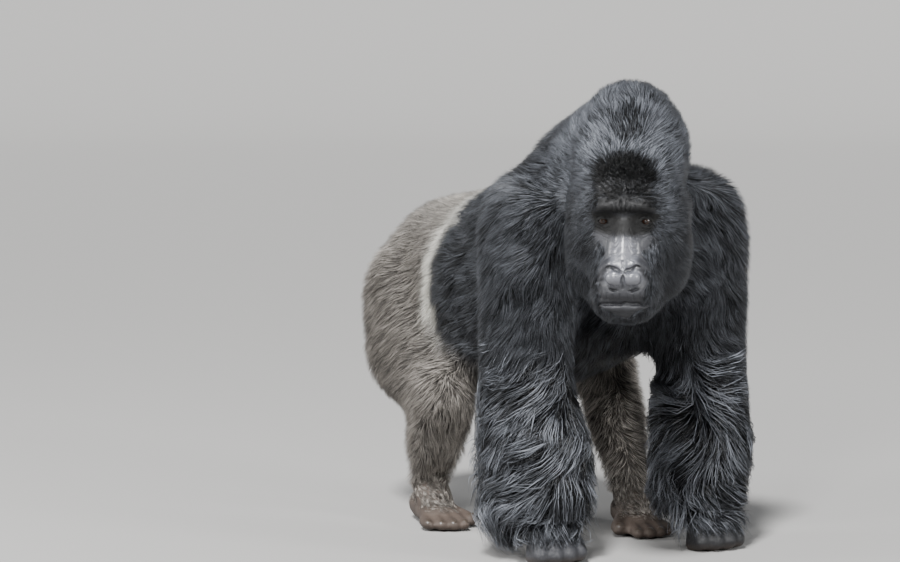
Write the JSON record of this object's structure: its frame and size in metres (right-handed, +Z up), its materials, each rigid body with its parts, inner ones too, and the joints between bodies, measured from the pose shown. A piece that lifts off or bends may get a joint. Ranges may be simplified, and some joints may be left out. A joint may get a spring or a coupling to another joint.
{
  "type": "gorilla",
  "caption": "Life-size still model of an adult male mountain gorilla on all fours, in mid-step, with its head turned and bowed.",
  "frame": {"origin": "on the floor under the middle of the whole animal", "axes": "-Y the way the body faces, +X to the animal's left, +Z up"},
  "size_m": [0.67, 1.3088, 0.9938],
  "materials": {
    "fur": "long coarse black hair with a blue-grey sheen",
    "hip_fur": "shorter brown-grey hair, silver on the back",
    "hide": "bare black wrinkled skin with a dull shine",
    "sole": "dusty brown-grey bare skin",
    "eye": "wet dark brown, polished"
  },
  "bodies": {
    "root": {"ear_left": "hide", "ear_right": "hide", "eye_left": "eye", "eye_right": "eye", "foot_left": "sole", "foot_right": "sole", "forearm_left": "fur", "forearm_right": "fur", "hand_left": "hide", "hand_right": "hide", "head": "fur", "neck": "fur", "shin_left": "hip_fur", "shin_right": "hip_fur", "thigh_left": "hip_fur", "thigh_right": "hip_fur", "trunk": "fur", "upper_arm_left": "fur", "upper_arm_right": "fur"}
  },
  "joints": []
}
